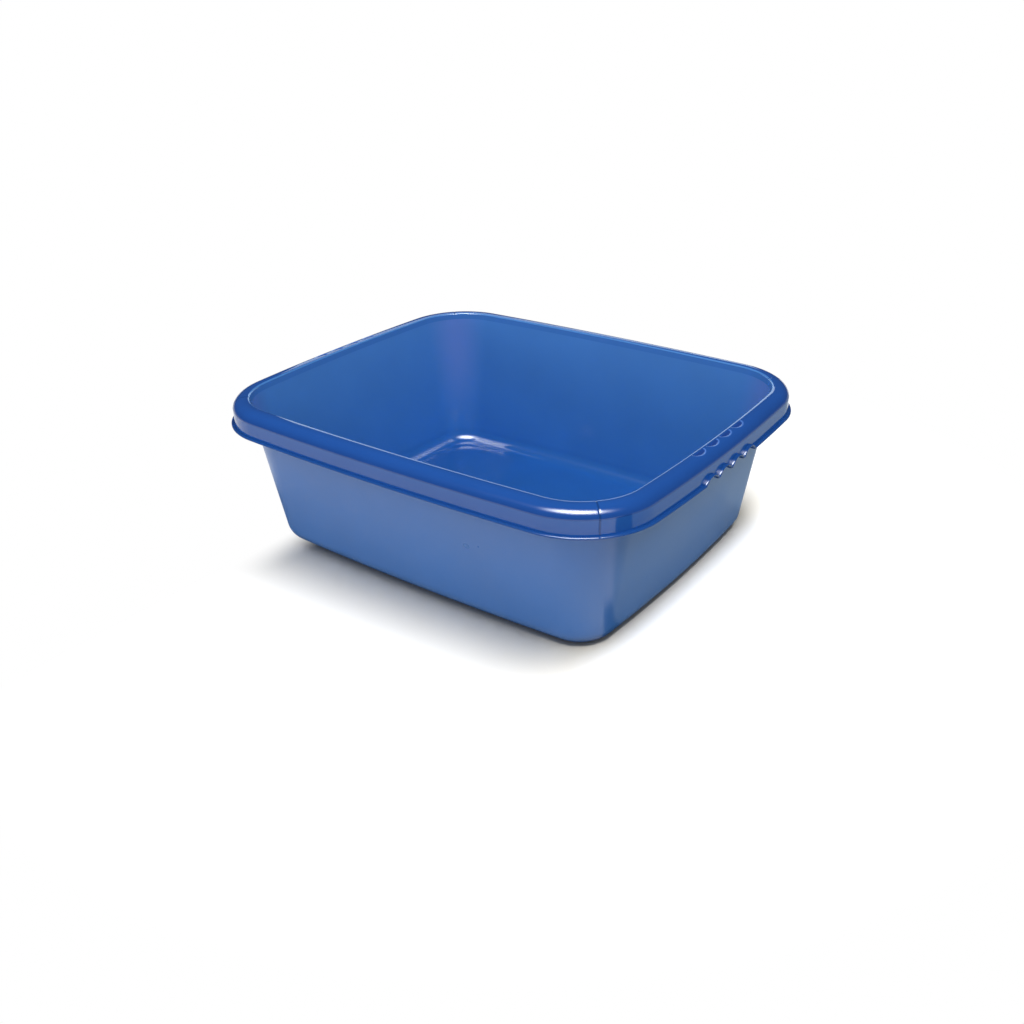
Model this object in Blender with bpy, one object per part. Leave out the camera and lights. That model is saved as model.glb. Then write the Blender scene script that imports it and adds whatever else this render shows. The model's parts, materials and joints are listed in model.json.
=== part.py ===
"""A rectangular washing-up basin, injection moulded in one shot from glossy blue polypropylene.

Blender units are metres and +Z is up. The origin is the middle of the base, on the surface that the
basin stands on. +X runs along the long sides, so the two finger grips are at +X and -X.

The real basin is a single moulding. It is modelled here as the regions that a mould maker would name,
each a closed solid of its own that stops one JOINT_GAP short of its neighbours: the floor, the heel
that rounds the floor up into the wall, the tapered wall, the rolled rim, the skirt that hangs from it
with a lip along its foot, the two arched finger grips and the four webs that stiffen the corners.

Every level of the basin is one plan outline, a rounded rectangle with gently bowed sides, set in from
the edge of the lip. So each ring is a cross-section swept round that outline, and every point of a
cross-section is written as (inset, height): how far in from the lip's edge, and how far above z = 0.
"""

import math

import bmesh
import bpy

# Plan outline at the edge of the lip
LENGTH = 0.380
WIDTH = 0.317
CORNER_RADIUS = 0.0619
SIDE_BOW = 0.0030

# Height of the rim's crest above the surface that the basin stands on
RIM_HEIGHT = 0.1235

# Depths below the crest: the top of the wall, the end of the roll and the underside of the lip
WALL_TOP_DEPTH = 0.0055
ROLL_END_DEPTH = 0.0068
RIM_DEPTH = 0.0193

# Wall and floor
WALL_THICKNESS = 0.0016
FLOOR_THICKNESS = 0.0020
DRAFT_ANGLE = math.radians(9.3)
HEEL_RADIUS = 0.0148

# Rolled rim: an elliptical roll that ends in a small rounded edge on the inside
INNER_EDGE_INSET = 0.0161
INNER_EDGE_RADIUS = 0.0018
CREST_INSET = 0.0124
ROLL_HALF_HEIGHT = 0.0088

# Skirt below the roll, and the lip along its foot
SKIRT_INSET = 0.0026
LIP_THICKNESS = 0.0024
LIP_EDGE_RADIUS = 0.0007

# How far along the long sides the corner stretches of the skirt reach
CORNER_SKIRT_REACH = 0.025

# Finger grips in the two short sides
ARCH_COUNT = 4
ARCH_PITCH = 0.01935
ARCH_HEIGHT = 0.0060
ARCH_VALLEY_HEIGHT = 0.0009
ARCH_LIP_THICKNESS = 0.0019
ARCH_LEG_THICKNESS = 0.0017

# Scoops in the top of the rim, one above each arch
SCOOP_INSET = 0.0088
SCOOP_WIDTH = 0.0047
SCOOP_LENGTH = 0.0150
SCOOP_DEPTH = 0.0008

# Webs under the rim at the corners
WEB_THICKNESS = 0.0014

# Clearance between neighbouring solids
JOINT_GAP = 0.0003

# Steps that the round stretches are drawn with
CORNER_STEPS = 12
LONG_SIDE_STEPS = 8
SHORT_SIDE_STEPS = 6
GRIP_STEPS = 4
REACH_STEPS = 2
HEEL_STEPS = 7
ROLL_STEPS = 10
EDGE_STEPS = 3
ARCH_STEPS = 12
SCOOP_STEPS = 8

# How far cutters reach past what they cut
CUTTER_REACH = 0.010

# Points closer than this are one point
WELD_DISTANCE = 1e-6

# Edges that turn more than this stay sharp
SHARP_ANGLE = math.radians(35.0)

# Passes that settle where the roll's underside meets the wall
MEETING_TRIES = 8

# Half the length of a grip, measured along its side
GRIP_HALF_LENGTH = ARCH_COUNT * ARCH_PITCH / 2.0

# Plan centre of the right-hand back corner's arc
CORNER_X = LENGTH / 2.0 - CORNER_RADIUS - SIDE_BOW
CORNER_Y = WIDTH / 2.0 - CORNER_RADIUS - SIDE_BOW

# Heights above the base of the levels in the rim, and of the middle of the elliptical roll
WALL_TOP_HEIGHT = RIM_HEIGHT - WALL_TOP_DEPTH
ROLL_END_HEIGHT = RIM_HEIGHT - ROLL_END_DEPTH
SKIRT_TOP_HEIGHT = ROLL_END_HEIGHT - JOINT_GAP
LIP_HEIGHT = RIM_HEIGHT - RIM_DEPTH
ROLL_CENTRE_HEIGHT = RIM_HEIGHT - ROLL_HALF_HEIGHT

# Half the width of the roll, which brings its outer end down flush with the skirt's face
ROLL_HALF_WIDTH = (CREST_INSET - SKIRT_INSET) / math.sqrt(
    1.0 - ((ROLL_END_HEIGHT - ROLL_CENTRE_HEIGHT) / ROLL_HALF_HEIGHT) ** 2
)

# The two grip sides with their turn about the middle, and the four corners with their signs of X and Y
SIDES = (("right", 0.0), ("left", math.pi))
CORNERS = (
    ("back_right", 1.0, 1.0),
    ("back_left", -1.0, 1.0),
    ("front_left", -1.0, -1.0),
    ("front_right", 1.0, -1.0),
)

# Colours of the moulding as it shows in each region, as linear RGB
FLOOR_BLUE = (0.016, 0.108, 0.381)
HEEL_BLUE = (0.030, 0.087, 0.366)
WALL_BLUE = (0.042, 0.147, 0.445)
RIM_BLUE = (0.019, 0.080, 0.347)
SKIRT_BLUE = (0.078, 0.156, 0.397)
GRIP_BLUE = (0.060, 0.130, 0.380)
WEB_BLUE = (0.016, 0.060, 0.260)
GLOSS_ROUGHNESS = 0.18
PLASTIC_METALLIC = 0.0


def clear_scene():
    """Empty the scene, so that the basin is all that it holds."""
    for item in list(bpy.data.objects):
        bpy.data.objects.remove(item, do_unlink=True)


def new_collection(name):
    """Make a collection in the scene."""
    collection = bpy.data.collections.new(name)
    bpy.context.scene.collection.children.link(collection)
    return collection


def moulded_plastic(name, colour):
    """Glossy moulded polypropylene of one colour."""
    material = bpy.data.materials.new(name)
    material.use_nodes = True
    shader = material.node_tree.nodes["Principled BSDF"]
    shader.inputs["Base Color"].default_value = (*colour, 1.0)
    shader.inputs["Roughness"].default_value = GLOSS_ROUGHNESS
    shader.inputs["Metallic"].default_value = PLASTIC_METALLIC
    material.diffuse_color = (*colour, 1.0)
    return material


def arc(centre_x, centre_y, radius_x, radius_y, start, end, steps):
    """Points along an arc of an ellipse, both ends included."""
    points = []
    for step in range(steps + 1):
        angle = start + (end - start) * step / steps
        points.append((centre_x + radius_x * math.cos(angle), centre_y + radius_y * math.sin(angle)))
    return points


def bowed_side(half_span):
    """Radius of the arc of a bowed side through the corner centres, and the angle at which it ends."""
    radius = (half_span ** 2 + SIDE_BOW ** 2) / (2.0 * SIDE_BOW)
    return radius, math.asin(half_span / radius)


SHORT_SIDE_RADIUS, SHORT_SIDE_ANGLE = bowed_side(CORNER_Y)
LONG_SIDE_RADIUS, LONG_SIDE_ANGLE = bowed_side(CORNER_X)
CORNER_START = SHORT_SIDE_ANGLE
CORNER_END = math.pi / 2.0 - LONG_SIDE_ANGLE
CORNER_MIDDLE = (CORNER_START + CORNER_END) / 2.0

# Where the arcs of the sides end at the lip and the corners begin
SIDE_END_X = (LONG_SIDE_RADIUS + CORNER_RADIUS) * math.sin(LONG_SIDE_ANGLE)
SIDE_END_Y = (SHORT_SIDE_RADIUS + CORNER_RADIUS) * math.sin(SHORT_SIDE_ANGLE)


def right_side(inset, start_y, end_y, steps):
    """Points up the right-hand side, between two distances from the middle measured at the lip."""
    radius = SHORT_SIDE_RADIUS + CORNER_RADIUS
    centre_x = LENGTH / 2.0 - radius
    start = math.asin(start_y / radius)
    end = math.asin(end_y / radius)
    return arc(centre_x, 0.0, radius - inset, radius - inset, start, end, steps)


def back_right_corner(inset):
    """Points round the corner between the right-hand side and the back."""
    radius = CORNER_RADIUS - inset
    return arc(CORNER_X, CORNER_Y, radius, radius, CORNER_START, CORNER_END, CORNER_STEPS)


def back_side(inset, start_x, end_x, steps):
    """Points along the back, between two distances from the middle measured at the lip."""
    radius = LONG_SIDE_RADIUS + CORNER_RADIUS
    centre_y = WIDTH / 2.0 - radius
    start = math.acos(start_x / radius)
    end = math.acos(end_x / radius)
    return arc(0.0, centre_y, radius - inset, radius - inset, start, end, steps)


def mirrored_in_x(points):
    """The same stretch of outline on the left, still running anticlockwise."""
    return [(-x, y) for x, y in reversed(points)]


def half_turned(points):
    """The same stretch of outline turned half a turn about the middle."""
    return [(-x, -y) for x, y in points]


def full_outline(inset):
    """The whole plan outline at an inset from the lip's edge, anticlockwise."""
    side = right_side(inset, 0.0, SIDE_END_Y, SHORT_SIDE_STEPS // 2)
    corner = back_right_corner(inset)
    along = back_side(inset, SIDE_END_X, -SIDE_END_X, LONG_SIDE_STEPS)
    half = side + corner[1:] + along[1:-1] + mirrored_in_x(corner)[:-1] + mirrored_in_x(side)
    return half[:-1] + half_turned(half)[:-1]


def straight_runs(name, points, closed, collection):
    """A curve of straight runs through points in its own XY plane."""
    curve = bpy.data.curves.new(name, "CURVE")
    spline = curve.splines.new("POLY")
    spline.points.add(len(points) - 1)
    for point, (x, y) in zip(spline.points, points):
        point.co = (x, y, 0.0, 1.0)
    spline.use_cyclic_u = closed
    item = bpy.data.objects.new(name, curve)
    collection.objects.link(item)
    return item


def as_mesh(item):
    """Replace an object by the mesh that its curve or its modifiers make, with the caps welded on."""
    bpy.context.view_layer.update()
    graph = bpy.context.evaluated_depsgraph_get()
    mesh = bpy.data.meshes.new_from_object(item.evaluated_get(graph))
    shape = bmesh.new()
    shape.from_mesh(mesh)
    bmesh.ops.remove_doubles(shape, verts=shape.verts, dist=WELD_DISTANCE)
    bmesh.ops.recalc_face_normals(shape, faces=shape.faces)
    shape.to_mesh(mesh)
    shape.free()
    name = item.name
    placed = item.matrix_world.copy()
    collections = list(item.users_collection)
    bpy.data.objects.remove(item, do_unlink=True)
    mesh.name = name
    result = bpy.data.objects.new(name, mesh)
    result.matrix_world = placed
    for collection in collections:
        collection.objects.link(result)
    return result


def sweep(name, section, route, closed, collection):
    """Sweep a cross-section of (inset, height) points round a route that runs along the lip's edge.

    The route runs anticlockwise seen from above, and the cross-section anticlockwise in its own plane.
    """
    across = [(-inset, height) for inset, height in section]
    profile = straight_runs(name + "_section", across, True, collection)
    item = straight_runs(name, route, closed, collection)
    item.data.dimensions = "3D"
    item.data.twist_mode = "Z_UP"
    item.data.bevel_mode = "OBJECT"
    item.data.bevel_object = profile
    item.data.use_fill_caps = not closed
    result = as_mesh(item)
    bpy.data.objects.remove(profile, do_unlink=True)
    return result


def plate(name, points, thickness, collection):
    """A flat plate with the given outline, centred on its own plane."""
    item = straight_runs(name, points, True, collection)
    item.data.dimensions = "2D"
    item.data.fill_mode = "BOTH"
    item.data.extrude = thickness / 2.0
    return item


def combine(item, other, operation):
    """Cut, join or keep what is common with another mesh, which becomes a cutter."""
    modifier = item.modifiers.new(operation.title() + " " + other.name, "BOOLEAN")
    modifier.operation = operation
    modifier.solver = "EXACT"
    modifier.object = other
    other.hide_render = True
    other.display_type = "WIRE"


def finish(item, material):
    """Shade a mesh smooth except along its sharp edges, and give it its material."""
    item.data.shade_smooth()
    item.data.set_sharp_from_angle(angle=SHARP_ANGLE)
    item.data.materials.clear()
    item.data.materials.append(material)


def turned_copy(item, name, turn, material):
    """A second object that shares the first one's mesh, turned about the middle of the basin."""
    copy = bpy.data.objects.new(name, item.data)
    copy.rotation_euler.z = item.rotation_euler.z + turn
    item.users_collection[0].objects.link(copy)
    copy.material_slots[0].link = "OBJECT"
    copy.material_slots[0].material = material
    return copy


def edge_height():
    """Height at which the elliptical roll reaches the inner edge of the rim."""
    share = (INNER_EDGE_INSET - CREST_INSET) / ROLL_HALF_WIDTH
    return ROLL_CENTRE_HEIGHT + ROLL_HALF_HEIGHT * math.sqrt(1.0 - share ** 2)


def inner_wall_inset(height):
    """Inset of the wall's inner face at a height, on the straight tapered stretch."""
    return INNER_EDGE_INSET + math.tan(DRAFT_ANGLE) * (edge_height() - height)


def outer_wall_inset(height):
    """Inset of the wall's outer face at a height."""
    return inner_wall_inset(height) - WALL_THICKNESS / math.cos(DRAFT_ANGLE)


def heel_arc(wall_depth, floor_depth):
    """The heel at its depths in from the wall's and the floor's outer faces, from floor to wall."""
    centre_inset = outer_wall_inset(HEEL_RADIUS) + HEEL_RADIUS / math.cos(DRAFT_ANGLE)
    across = HEEL_RADIUS - wall_depth
    upright = HEEL_RADIUS - floor_depth
    return arc(centre_inset, HEEL_RADIUS, across, upright, -math.pi / 2.0, DRAFT_ANGLE - math.pi, HEEL_STEPS)


def outer_heel():
    """The heel's outer arc."""
    return heel_arc(0.0, 0.0)


def inner_heel():
    """The heel's inner arc, which leaves the floor's thickness at one end and the wall's at the other."""
    return heel_arc(WALL_THICKNESS, FLOOR_THICKNESS)


def roll_arc(depth, start, end, steps):
    """The roll at a depth below its outer surface. Angle 0 faces out and a right angle faces up."""
    across = ROLL_HALF_WIDTH - depth
    upright = ROLL_HALF_HEIGHT - depth
    return arc(CREST_INSET, ROLL_CENTRE_HEIGHT, -across, upright, start, end, steps)


def roll_angle_at_inset(inset, depth):
    """Angle round the roll, past its crest, at which it reaches an inset."""
    return math.pi / 2.0 + math.asin((inset - CREST_INSET) / (ROLL_HALF_WIDTH - depth))


def roll_angle_at_height(height, depth):
    """Angle round the roll, on its outer side, at which it reaches a height."""
    return math.asin((height - ROLL_CENTRE_HEIGHT) / (ROLL_HALF_HEIGHT - depth))


def under_roll_end(depth, clearance):
    """Angle round the roll's underside at which it meets a line a clearance outside the wall."""
    angle = math.pi / 2.0
    for _ in range(MEETING_TRIES):
        height = roll_arc(depth, angle, angle, 1)[0][1]
        inset = outer_wall_inset(height) - clearance
        angle = roll_angle_at_inset(inset, depth)
    return angle


def inner_edge_arc():
    """The small rounded edge between the wall's inner face and the roll, a curve with one control."""
    low_height = edge_height() - INNER_EDGE_RADIUS
    start = (inner_wall_inset(low_height), low_height)
    control = (INNER_EDGE_INSET, edge_height())
    end_angle = roll_angle_at_inset(INNER_EDGE_INSET - INNER_EDGE_RADIUS, 0.0)
    end = roll_arc(0.0, end_angle, end_angle, 1)[0]
    points = []
    for step in range(EDGE_STEPS + 1):
        share = step / EDGE_STEPS
        weights = ((1.0 - share) ** 2, 2.0 * share * (1.0 - share), share ** 2)
        inset, height = (
            sum(weight * point[axis] for weight, point in zip(weights, (start, control, end)))
            for axis in (0, 1)
        )
        points.append((inset, height))
    return points


def heel_section():
    """Cross-section of the heel: two arcs round one centre."""
    return inner_heel() + outer_heel()[::-1]


def wall_section():
    """Cross-section of the tapered wall, from one gap above the heel to one gap below the rim."""
    gap_in = JOINT_GAP * math.sin(DRAFT_ANGLE)
    gap_up = JOINT_GAP * math.cos(DRAFT_ANGLE)
    foot_inner = inner_heel()[-1]
    foot_outer = outer_heel()[-1]
    return [
        (foot_inner[0] - gap_in, foot_inner[1] + gap_up),
        (inner_wall_inset(WALL_TOP_HEIGHT), WALL_TOP_HEIGHT),
        (outer_wall_inset(WALL_TOP_HEIGHT), WALL_TOP_HEIGHT),
        (foot_outer[0] - gap_in, foot_outer[1] + gap_up),
    ]


def rim_section():
    """Cross-section of the rolled rim: over the top from the inner edge, and back underneath."""
    bottom = WALL_TOP_HEIGHT + JOINT_GAP
    over_start = roll_angle_at_inset(INNER_EDGE_INSET - INNER_EDGE_RADIUS, 0.0)
    over_end = roll_angle_at_height(ROLL_END_HEIGHT, 0.0)
    crest = math.pi / 2.0
    over = roll_arc(0.0, over_start, crest, 1) + roll_arc(0.0, crest, over_end, ROLL_STEPS)[1:]
    under_start = roll_angle_at_height(ROLL_END_HEIGHT, WALL_THICKNESS)
    under_end = under_roll_end(WALL_THICKNESS, 0.0)
    under = roll_arc(WALL_THICKNESS, under_start, under_end, ROLL_STEPS)
    inside = [(inner_wall_inset(bottom), bottom)]
    outside = [(outer_wall_inset(bottom), bottom)]
    return inside + inner_edge_arc() + over[1:] + under + outside


def skirt_section():
    """Cross-section of the skirt with the lip along its foot."""
    edge = LIP_EDGE_RADIUS
    lip_top = LIP_HEIGHT + LIP_THICKNESS
    inner = SKIRT_INSET + WALL_THICKNESS
    upper = arc(edge, lip_top - edge, edge, edge, math.pi / 2.0, math.pi, EDGE_STEPS)
    lower = arc(edge, LIP_HEIGHT + edge, edge, edge, math.pi, math.pi * 1.5, EDGE_STEPS)
    face = [(inner, SKIRT_TOP_HEIGHT), (SKIRT_INSET, SKIRT_TOP_HEIGHT), (SKIRT_INSET, lip_top)]
    return face + upper + lower + [(inner, LIP_HEIGHT)]


def arch_middles():
    """Distances of the arches from the middle of the short side."""
    first = -(ARCH_COUNT - 1) * ARCH_PITCH / 2.0
    return [first + index * ARCH_PITCH for index in range(ARCH_COUNT)]


def half_ellipse(middle_y, base_z, half_width, rise):
    """Half of an ellipse that stands on a level base, as (y, z) points."""
    return arc(middle_y, base_z, half_width, rise, math.pi, 0.0, ARCH_STEPS)


def crosswise_plate(name, points, collection):
    """A plate drawn as (y, z) points, deep enough along X to pass right through the skirt."""
    depth = SKIRT_INSET + WALL_THICKNESS + SIDE_BOW + 2.0 * CUTTER_REACH
    item = plate(name, points, depth, collection)
    item.rotation_euler = (math.pi / 2.0, 0.0, math.pi / 2.0)
    item.location.x = LENGTH / 2.0 + CUTTER_REACH - depth / 2.0
    return as_mesh(item)


def make_floor(parts):
    """The flat floor, which the basin stands on."""
    inset = outer_heel()[0][0] + JOINT_GAP
    floor = plate("floor_panel", full_outline(inset), FLOOR_THICKNESS, parts)
    floor.location.z = FLOOR_THICKNESS / 2.0
    floor = as_mesh(floor)
    finish(floor, moulded_plastic("floor_plastic", FLOOR_BLUE))


def make_heel(parts):
    """The rounded heel between the floor and the wall."""
    heel = sweep("heel_ring", heel_section(), full_outline(0.0), True, parts)
    finish(heel, moulded_plastic("heel_plastic", HEEL_BLUE))


def make_wall(parts):
    """The tapered wall, one ring round all four sides."""
    wall = sweep("side_wall", wall_section(), full_outline(0.0), True, parts)
    finish(wall, moulded_plastic("wall_plastic", WALL_BLUE))


def make_rim(parts, cutters):
    """The rolled rim, with a row of scoops in its top at each grip."""
    rim = sweep("rim_roll", rim_section(), full_outline(0.0), True, parts)
    finish(rim, moulded_plastic("rim_plastic", RIM_BLUE))
    straight_side = LENGTH / 2.0 - SCOOP_INSET - SCOOP_WIDTH
    half_length = SCOOP_LENGTH / 2.0
    quarter = math.pi / 2.0
    for side, turn in SIDES:
        for index, middle in enumerate(arch_middles()):
            outline = arc(straight_side, middle, SCOOP_WIDTH, half_length, -quarter, quarter, SCOOP_STEPS)
            cutter = plate("scoop_cutter_{}_{}".format(side, index + 1), outline, CUTTER_REACH, cutters)
            cutter.location.z = RIM_HEIGHT - SCOOP_DEPTH + CUTTER_REACH / 2.0
            cutter.rotation_euler.z = turn
            combine(rim, as_mesh(cutter), "DIFFERENCE")


def make_skirt_stretch(name, opposite, route, parts):
    """A stretch of the skirt with its lip, and the same stretch half a turn further round."""
    skirt = sweep(name, skirt_section(), route, False, parts)
    finish(skirt, moulded_plastic(name + "_plastic", SKIRT_BLUE))
    turned_copy(skirt, opposite, math.pi, moulded_plastic(opposite + "_plastic", SKIRT_BLUE))


def make_skirts(parts):
    """The skirt: one stretch along each long side, and one round each corner as far as the grip."""
    split = SIDE_END_X - CORNER_SKIRT_REACH
    along = back_side(0.0, split, -split, LONG_SIDE_STEPS)
    make_skirt_stretch("skirt_back", "skirt_front", along, parts)
    from_grip = right_side(0.0, GRIP_HALF_LENGTH + JOINT_GAP, SIDE_END_Y, GRIP_STEPS)
    to_split = back_side(0.0, SIDE_END_X, split + JOINT_GAP, REACH_STEPS)
    corner = from_grip + back_right_corner(0.0)[1:] + to_split[1:]
    make_skirt_stretch("skirt_corner_back_right", "skirt_corner_front_left", corner, parts)
    mirrored = mirrored_in_x(corner)
    make_skirt_stretch("skirt_corner_back_left", "skirt_corner_front_right", mirrored, parts)


def make_grips(parts, cutters):
    """The two grips: skirt whose foot and lip rise in a row of arches, one for each finger.

    A panel and a ledge are swept past both ends and below the lip. An outline of hoods shapes the
    ledge, the two are joined, and an outline with the finger openings trims the whole.
    """
    half = GRIP_HALF_LENGTH
    top = SKIRT_TOP_HEIGHT
    inner = SKIRT_INSET + WALL_THICKNESS
    foot = LIP_HEIGHT - CUTTER_REACH / 4.0
    panel = [(inner, top), (SKIRT_INSET, top), (SKIRT_INSET, foot), (inner, foot)]
    panel_end = half + CUTTER_REACH
    grip = sweep("right_grip", panel, right_side(0.0, -panel_end, panel_end, 2 * GRIP_STEPS), False, parts)

    ledge_inner = SKIRT_INSET + WALL_THICKNESS / 2.0
    ledge_top = LIP_HEIGHT + ARCH_HEIGHT + ARCH_LIP_THICKNESS
    ledge_foot = LIP_HEIGHT - CUTTER_REACH / 2.0
    ledge = [(ledge_inner, ledge_top), (0.0, ledge_top), (0.0, ledge_foot), (ledge_inner, ledge_foot)]
    ledge_end = half + CUTTER_REACH / 2.0
    ledge_route = right_side(0.0, -ledge_end, ledge_end, 2 * GRIP_STEPS)
    hoods = sweep("arch_hoods", ledge, ledge_route, False, cutters)
    valley = LIP_HEIGHT + ARCH_VALLEY_HEIGHT
    outline = [(-panel_end, valley)]
    for middle in arch_middles():
        hood = half_ellipse(middle, valley, ARCH_PITCH / 2.0, ARCH_HEIGHT - ARCH_VALLEY_HEIGHT)
        outline += hood[:-1]
    outline.append((half, valley))
    outline.append((panel_end, valley))
    outline.append((panel_end, LIP_HEIGHT - CUTTER_REACH))
    outline.append((-panel_end, LIP_HEIGHT - CUTTER_REACH))
    combine(hoods, crosswise_plate("hood_outline", outline, cutters), "INTERSECT")
    combine(grip, hoods, "UNION")

    opening_half = ARCH_PITCH / 2.0 - ARCH_LEG_THICKNESS
    outline = [(-half, top + CUTTER_REACH), (-half, LIP_HEIGHT)]
    for middle in arch_middles():
        outline += half_ellipse(middle, LIP_HEIGHT, opening_half, ARCH_HEIGHT - ARCH_LIP_THICKNESS)
    outline.append((half, LIP_HEIGHT))
    outline.append((half, top + CUTTER_REACH))
    combine(grip, crosswise_plate("grip_outline", outline, cutters), "INTERSECT")

    grip = as_mesh(grip)
    finish(grip, moulded_plastic("right_grip_plastic", GRIP_BLUE))
    turned_copy(grip, "left_grip", math.pi, moulded_plastic("left_grip_plastic", GRIP_BLUE))


def web_outline():
    """Outline of a corner web, as (distance from the corner's centre, height) points."""
    slanted_gap = JOINT_GAP / math.cos(DRAFT_ANGLE)
    depth = WALL_THICKNESS + JOINT_GAP
    skirt_inset = SKIRT_INSET + depth
    start = math.acos((CREST_INSET - skirt_inset) / (ROLL_HALF_WIDTH - depth))
    section = [(skirt_inset, LIP_HEIGHT)]
    section += roll_arc(depth, start, under_roll_end(depth, slanted_gap), ROLL_STEPS)
    section.append((outer_wall_inset(LIP_HEIGHT) - slanted_gap, LIP_HEIGHT))
    return [(CORNER_RADIUS - inset, height) for inset, height in section]


def make_webs(parts):
    """A web in each corner, across the channel between the wall and the skirt."""
    for name, side_x, side_y in CORNERS:
        web = plate("corner_web_" + name, web_outline(), WEB_THICKNESS, parts)
        angle = math.atan2(side_y * math.sin(CORNER_MIDDLE), side_x * math.cos(CORNER_MIDDLE))
        web.rotation_euler = (math.pi / 2.0, 0.0, angle)
        web.location = (side_x * CORNER_X, side_y * CORNER_Y, 0.0)
        web = as_mesh(web)
        finish(web, moulded_plastic("web_" + name + "_plastic", WEB_BLUE))


def main():
    """Build the basin from the floor up."""
    clear_scene()
    parts = new_collection("square_basin")
    cutters = new_collection("square_basin_cutters")
    make_floor(parts)
    make_heel(parts)
    make_wall(parts)
    make_rim(parts, cutters)
    make_skirts(parts)
    make_grips(parts, cutters)
    make_webs(parts)


main()
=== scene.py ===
# %% [markdown]
# # A washing-up basin in glossy blue polypropylene
#
# The real basin is one injection moulding: a flat floor, a rounded heel, four tapered walls and a
# rolled rim with a skirt and a lip, which rises in four finger arches at each short end. The packed
# model gives each region of that moulding its place and size, as plain faceted solids. This script
# dresses each region in the smooth skin, the rounded edges and the finish of the real one, and
# lights it.
#
# Everything is in metres, with the origin in the middle of the base and +Z up.

# %% Load the frame and keep its box
import json
import math

import bmesh
import bpy
from mathutils import Matrix, Vector

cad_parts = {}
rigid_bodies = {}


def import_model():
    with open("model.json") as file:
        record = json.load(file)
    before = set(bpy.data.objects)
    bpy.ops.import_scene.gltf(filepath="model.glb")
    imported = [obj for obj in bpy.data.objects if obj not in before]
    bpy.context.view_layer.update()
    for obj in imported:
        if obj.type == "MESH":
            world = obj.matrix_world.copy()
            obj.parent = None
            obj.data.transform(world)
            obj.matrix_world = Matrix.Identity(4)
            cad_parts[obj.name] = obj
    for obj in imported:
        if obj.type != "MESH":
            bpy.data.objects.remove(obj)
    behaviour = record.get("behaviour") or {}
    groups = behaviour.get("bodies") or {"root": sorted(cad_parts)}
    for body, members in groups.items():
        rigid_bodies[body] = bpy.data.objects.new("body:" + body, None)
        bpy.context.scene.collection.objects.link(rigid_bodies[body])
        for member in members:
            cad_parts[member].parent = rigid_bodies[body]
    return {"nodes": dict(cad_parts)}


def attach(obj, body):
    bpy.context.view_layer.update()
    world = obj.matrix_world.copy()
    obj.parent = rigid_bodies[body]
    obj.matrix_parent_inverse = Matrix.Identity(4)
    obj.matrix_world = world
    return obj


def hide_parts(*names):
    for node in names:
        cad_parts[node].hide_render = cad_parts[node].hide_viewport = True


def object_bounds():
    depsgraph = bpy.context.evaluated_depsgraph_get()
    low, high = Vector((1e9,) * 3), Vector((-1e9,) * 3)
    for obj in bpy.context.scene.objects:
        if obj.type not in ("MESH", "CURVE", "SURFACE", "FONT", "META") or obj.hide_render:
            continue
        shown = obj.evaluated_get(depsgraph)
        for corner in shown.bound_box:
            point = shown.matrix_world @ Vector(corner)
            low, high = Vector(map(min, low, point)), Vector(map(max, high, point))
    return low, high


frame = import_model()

cad_low, cad_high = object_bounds()
print("CAD box", tuple(cad_low), tuple(cad_high))

# %% [markdown]
# ## Driving sizes
#
# Length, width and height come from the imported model's own box, so that the skin can't grow past
# it. The other sizes are those of the moulding: how round it is at the corners, how far each part
# of its cross-section lies in from the edge of the lip, and how far below the crest of the rim.

# %% Sizes of the moulding
LENGTH = cad_high.x - cad_low.x
WIDTH = cad_high.y - cad_low.y
RIM_HEIGHT = cad_high.z

CORNER_RADIUS = 0.0619
SIDE_BOW = 0.0030

RIM_DEPTH = 0.0197
ROLL_END_DEPTH = 0.0068
WALL_TOP_DEPTH = 0.0055

WALL_THICKNESS = 0.0016
FLOOR_THICKNESS = 0.0020
DRAFT_ANGLE = math.radians(9.3)
HEEL_RADIUS = 0.0148

INNER_EDGE_INSET = 0.0161
CREST_INSET = 0.0124
ROLL_HALF_HEIGHT = 0.0088
SKIRT_INSET = 0.0026

LIP_HEIGHT = RIM_HEIGHT - RIM_DEPTH
WALL_TOP_HEIGHT = RIM_HEIGHT - WALL_TOP_DEPTH
ROLL_END_HEIGHT = RIM_HEIGHT - ROLL_END_DEPTH
ROLL_CENTRE_HEIGHT = RIM_HEIGHT - ROLL_HALF_HEIGHT

RIGHT_ANGLE = math.pi / 2.0
print("lip at", round(LIP_HEIGHT, 4), "wall top at", round(WALL_TOP_HEIGHT, 4))

# %% [markdown]
# ## The route round the basin
#
# Seen from above, every level of the basin is the same outline at another inset: two bowed short
# sides, two bowed long sides and four round corners, all arcs that run into each other without a
# kink. A cross-section can therefore be spun round one arc's centre after the other. Only a quarter
# is spun, from the middle of the right-hand side to the middle of the back, and mirrored twice.
#
# The quarter has seven stretches: the grip, the rest of the short side, the corner up to its sink
# line, the sink line, the rest of the corner, the corner skirt's reach along the long side, and the
# middle of that side. The steps are short where something fine has to be carved into the skin, at
# the finger scoops and at the sink line, and longer along the plain sides.

# %% Arcs of the outline
ARCH_COUNT = 4
ARCH_PITCH = 0.01935
GRIP_HALF_LENGTH = ARCH_COUNT * ARCH_PITCH / 2.0
CORNER_SKIRT_REACH = 0.025
SINK_REACH = 0.0012

CORNER_X = LENGTH / 2.0 - CORNER_RADIUS - SIDE_BOW
CORNER_Y = WIDTH / 2.0 - CORNER_RADIUS - SIDE_BOW


def bowed_side(half_span):
    """Radius at the lip of a bowed side's arc, and the angle from its middle to its end."""
    radius = (half_span ** 2 + SIDE_BOW ** 2) / (2.0 * SIDE_BOW)
    return radius + CORNER_RADIUS, math.asin(half_span / radius)


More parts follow.
